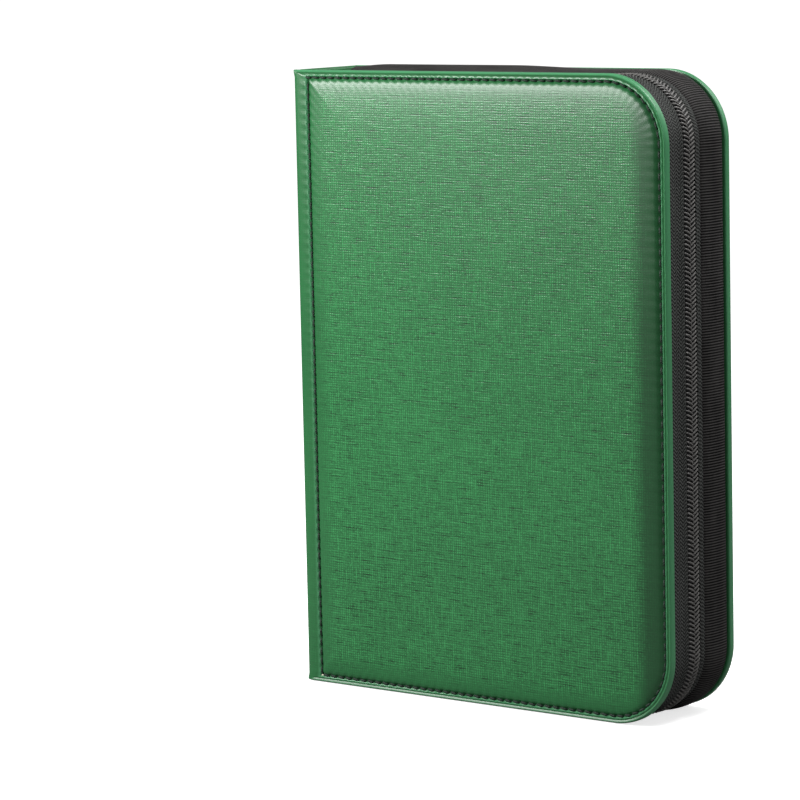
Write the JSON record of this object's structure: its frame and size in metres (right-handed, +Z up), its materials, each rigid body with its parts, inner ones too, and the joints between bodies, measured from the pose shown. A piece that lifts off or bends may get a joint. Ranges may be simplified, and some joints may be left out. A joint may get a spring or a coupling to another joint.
{
  "type": "trading card binder",
  "caption": "Zip-around padded card binder that stands on its edge, with a hinged front and back cover, a ribbed gusset and sewn-in nine-pocket leaves.",
  "frame": {"origin": "middle of the footprint, on the surface that the closed binder stands on", "axes": "+Z up along the spine, +X from the spine to the fore-edge, +Y from the front cover to the back cover"},
  "size_m": [0.24, 0.062, 0.332],
  "materials": {
    "cover_leather": "cross-grained synthetic leather, satin",
    "foam": "soft padding",
    "board": "grey board",
    "lining": "fine woven lining",
    "green_thread": "twisted polyester thread",
    "binding_tape": "folded ribbon",
    "zip_tape": "herringbone zip tape",
    "zip_coil": "nylon coil",
    "gusset": "ribbed grosgrain",
    "binding_pad": "padded cloth strip",
    "black_thread": "thick zigzag thread",
    "zip_metal": "plated zinc, satin",
    "pull_rubber": "moulded rubber, matte",
    "leaf_film": "clear film on a black sheet"
  },
  "bodies": {
    "spine": {"spine_leather": "cover_leather", "spine_board": "board", "spine_lining": "lining", "binding_strip": "binding_pad", "binding_thread": "black_thread", "zip_end_tab_top": "cover_leather", "zip_end_tab_bottom": "cover_leather", "zip_tail_top": "zip_tape", "zip_tail_bottom": "zip_tape", "zip_bottom_stop": "zip_metal"},
    "front_cover": {"front_cover_leather": "cover_leather", "front_cover_foam": "foam", "front_cover_board": "board", "front_cover_lining": "lining", "front_cover_stitching": "green_thread", "front_seam_binding": "binding_tape", "zip_tape_front": "zip_tape", "zip_coil_front": "zip_coil"},
    "back_cover": {"back_cover_leather": "cover_leather", "back_cover_foam": "foam", "back_cover_board": "board", "back_cover_lining": "lining", "back_cover_stitching": "green_thread", "back_seam_binding": "binding_tape", "zip_tape_back": "zip_tape", "zip_coil_back": "zip_coil", "gusset_band": "gusset", "gusset_piping": "gusset"},
    "zip_slider": {"slider_body": "zip_metal", "slider_bridge": "zip_metal"},
    "zip_pull": {"pull_link": "zip_metal", "pull_tab": "pull_rubber"},
    "leaf_01": {"leaf_01": "leaf_film"},
    "leaf_02": {"leaf_02": "leaf_film"},
    "leaf_03": {"leaf_03": "leaf_film"},
    "leaf_04": {"leaf_04": "leaf_film"},
    "leaf_05": {"leaf_05": "leaf_film"},
    "leaf_06": {"leaf_06": "leaf_film"},
    "leaf_07": {"leaf_07": "leaf_film"},
    "leaf_08": {"leaf_08": "leaf_film"},
    "leaf_09": {"leaf_09": "leaf_film"},
    "leaf_10": {"leaf_10": "leaf_film"},
    "leaf_11": {"leaf_11": "leaf_film"},
    "leaf_12": {"leaf_12": "leaf_film"},
    "leaf_13": {"leaf_13": "leaf_film"},
    "leaf_14": {"leaf_14": "leaf_film"},
    "leaf_15": {"leaf_15": "leaf_film"},
    "leaf_16": {"leaf_16": "leaf_film"},
    "leaf_17": {"leaf_17": "leaf_film"},
    "leaf_18": {"leaf_18": "leaf_film"},
    "leaf_19": {"leaf_19": "leaf_film"},
    "leaf_20": {"leaf_20": "leaf_film"}
  },
  "joints": [
    {"name": "front_hinge", "type": "hinge", "parent": "spine", "child": "front_cover", "pos_m": [-0.12, -0.031, 0.166], "axis": [0, 0, -1], "range_deg": [0, 90]},
    {"name": "back_hinge", "type": "hinge", "parent": "spine", "child": "back_cover", "pos_m": [-0.12, 0.031, 0.166], "axis": [0, 0, 1], "range_deg": [0, 90]},
    {"name": "zip_slide", "type": "slide", "parent": "spine", "child": "zip_slider", "axis": [0.9996, 0, 0.0296], "range_m": [0, 0.16]},
    {"name": "pull_hinge", "type": "hinge", "parent": "zip_slider", "child": "zip_pull", "pos_m": [-0.09912, -0.0055, 0.32828], "axis": [0, -1, 0], "range_deg": [0, 150]},
    {"name": "leaf_01_turn", "type": "hinge", "parent": "spine", "child": "leaf_01", "pos_m": [-0.113, -0.0209, 0.166], "axis": [0, 0, -1], "range_deg": [0, 88]},
    {"name": "leaf_02_turn", "type": "hinge", "parent": "spine", "child": "leaf_02", "pos_m": [-0.11135, -0.0187, 0.166], "axis": [0, 0, -1], "range_deg": [0, 86]},
    {"name": "leaf_03_turn", "type": "hinge", "parent": "spine", "child": "leaf_03", "pos_m": [-0.10996, -0.0165, 0.166], "axis": [0, 0, -1], "range_deg": [0, 83]},
    {"name": "leaf_04_turn", "type": "hinge", "parent": "spine", "child": "leaf_04", "pos_m": [-0.1088, -0.0143, 0.166], "axis": [0, 0, -1], "range_deg": [0, 78]},
    {"name": "leaf_05_turn", "type": "hinge", "parent": "spine", "child": "leaf_05", "pos_m": [-0.10784, -0.0121, 0.166], "axis": [0, 0, -1], "range_deg": [0, 72]},
    {"name": "leaf_06_turn", "type": "hinge", "parent": "spine", "child": "leaf_06", "pos_m": [-0.10706, -0.0099, 0.166], "axis": [0, 0, -1], "range_deg": [0, 64]},
    {"name": "leaf_07_turn", "type": "hinge", "parent": "spine", "child": "leaf_07", "pos_m": [-0.10645, -0.0077, 0.166], "axis": [0, 0, -1], "range_deg": [0, 54]},
    {"name": "leaf_08_turn", "type": "hinge", "parent": "spine", "child": "leaf_08", "pos_m": [-0.106, -0.0055, 0.166], "axis": [0, 0, -1], "range_deg": [0, 42]},
    {"name": "leaf_09_turn", "type": "hinge", "parent": "spine", "child": "leaf_09", "pos_m": [-0.1057, -0.0033, 0.166], "axis": [0, 0, -1], "range_deg": [0, 28]},
    {"name": "leaf_10_turn", "type": "hinge", "parent": "spine", "child": "leaf_10", "pos_m": [-0.10556, -0.0011, 0.166], "axis": [0, 0, -1], "range_deg": [0, 12]},
    {"name": "leaf_11_turn", "type": "hinge", "parent": "spine", "child": "leaf_11", "pos_m": [-0.10556, 0.0011, 0.166], "axis": [0, 0, 1], "range_deg": [0, 12]},
    {"name": "leaf_12_turn", "type": "hinge", "parent": "spine", "child": "leaf_12", "pos_m": [-0.1057, 0.0033, 0.166], "axis": [0, 0, 1], "range_deg": [0, 28]},
    {"name": "leaf_13_turn", "type": "hinge", "parent": "spine", "child": "leaf_13", "pos_m": [-0.106, 0.0055, 0.166], "axis": [0, 0, 1], "range_deg": [0, 42]},
    {"name": "leaf_14_turn", "type": "hinge", "parent": "spine", "child": "leaf_14", "pos_m": [-0.10645, 0.0077, 0.166], "axis": [0, 0, 1], "range_deg": [0, 54]},
    {"name": "leaf_15_turn", "type": "hinge", "parent": "spine", "child": "leaf_15", "pos_m": [-0.10706, 0.0099, 0.166], "axis": [0, 0, 1], "range_deg": [0, 64]},
    {"name": "leaf_16_turn", "type": "hinge", "parent": "spine", "child": "leaf_16", "pos_m": [-0.10784, 0.0121, 0.166], "axis": [0, 0, 1], "range_deg": [0, 72]},
    {"name": "leaf_17_turn", "type": "hinge", "parent": "spine", "child": "leaf_17", "pos_m": [-0.1088, 0.0143, 0.166], "axis": [0, 0, 1], "range_deg": [0, 78]},
    {"name": "leaf_18_turn", "type": "hinge", "parent": "spine", "child": "leaf_18", "pos_m": [-0.10996, 0.0165, 0.166], "axis": [0, 0, 1], "range_deg": [0, 83]},
    {"name": "leaf_19_turn", "type": "hinge", "parent": "spine", "child": "leaf_19", "pos_m": [-0.11135, 0.0187, 0.166], "axis": [0, 0, 1], "range_deg": [0, 86]},
    {"name": "leaf_20_turn", "type": "hinge", "parent": "spine", "child": "leaf_20", "pos_m": [-0.113, 0.0209, 0.166], "axis": [0, 0, 1], "range_deg": [0, 88]}
  ],
  "couplings": [
    {"joint": "leaf_01_turn", "follows": "front_hinge", "ratio": 0.97778},
    {"joint": "leaf_02_turn", "follows": "front_hinge", "ratio": 0.95556},
    {"joint": "leaf_03_turn", "follows": "front_hinge", "ratio": 0.92222},
    {"joint": "leaf_04_turn", "follows": "front_hinge", "ratio": 0.86667},
    {"joint": "leaf_05_turn", "follows": "front_hinge", "ratio": 0.8},
    {"joint": "leaf_06_turn", "follows": "front_hinge", "ratio": 0.71111},
    {"joint": "leaf_07_turn", "follows": "front_hinge", "ratio": 0.6},
    {"joint": "leaf_08_turn", "follows": "front_hinge", "ratio": 0.46667},
    {"joint": "leaf_09_turn", "follows": "front_hinge", "ratio": 0.31111},
    {"joint": "leaf_10_turn", "follows": "front_hinge", "ratio": 0.13333},
    {"joint": "leaf_11_turn", "follows": "back_hinge", "ratio": 0.13333},
    {"joint": "leaf_12_turn", "follows": "back_hinge", "ratio": 0.31111},
    {"joint": "leaf_13_turn", "follows": "back_hinge", "ratio": 0.46667},
    {"joint": "leaf_14_turn", "follows": "back_hinge", "ratio": 0.6},
    {"joint": "leaf_15_turn", "follows": "back_hinge", "ratio": 0.71111},
    {"joint": "leaf_16_turn", "follows": "back_hinge", "ratio": 0.8},
    {"joint": "leaf_17_turn", "follows": "back_hinge", "ratio": 0.86667},
    {"joint": "leaf_18_turn", "follows": "back_hinge", "ratio": 0.92222},
    {"joint": "leaf_19_turn", "follows": "back_hinge", "ratio": 0.95556},
    {"joint": "leaf_20_turn", "follows": "back_hinge", "ratio": 0.97778}
  ]
}
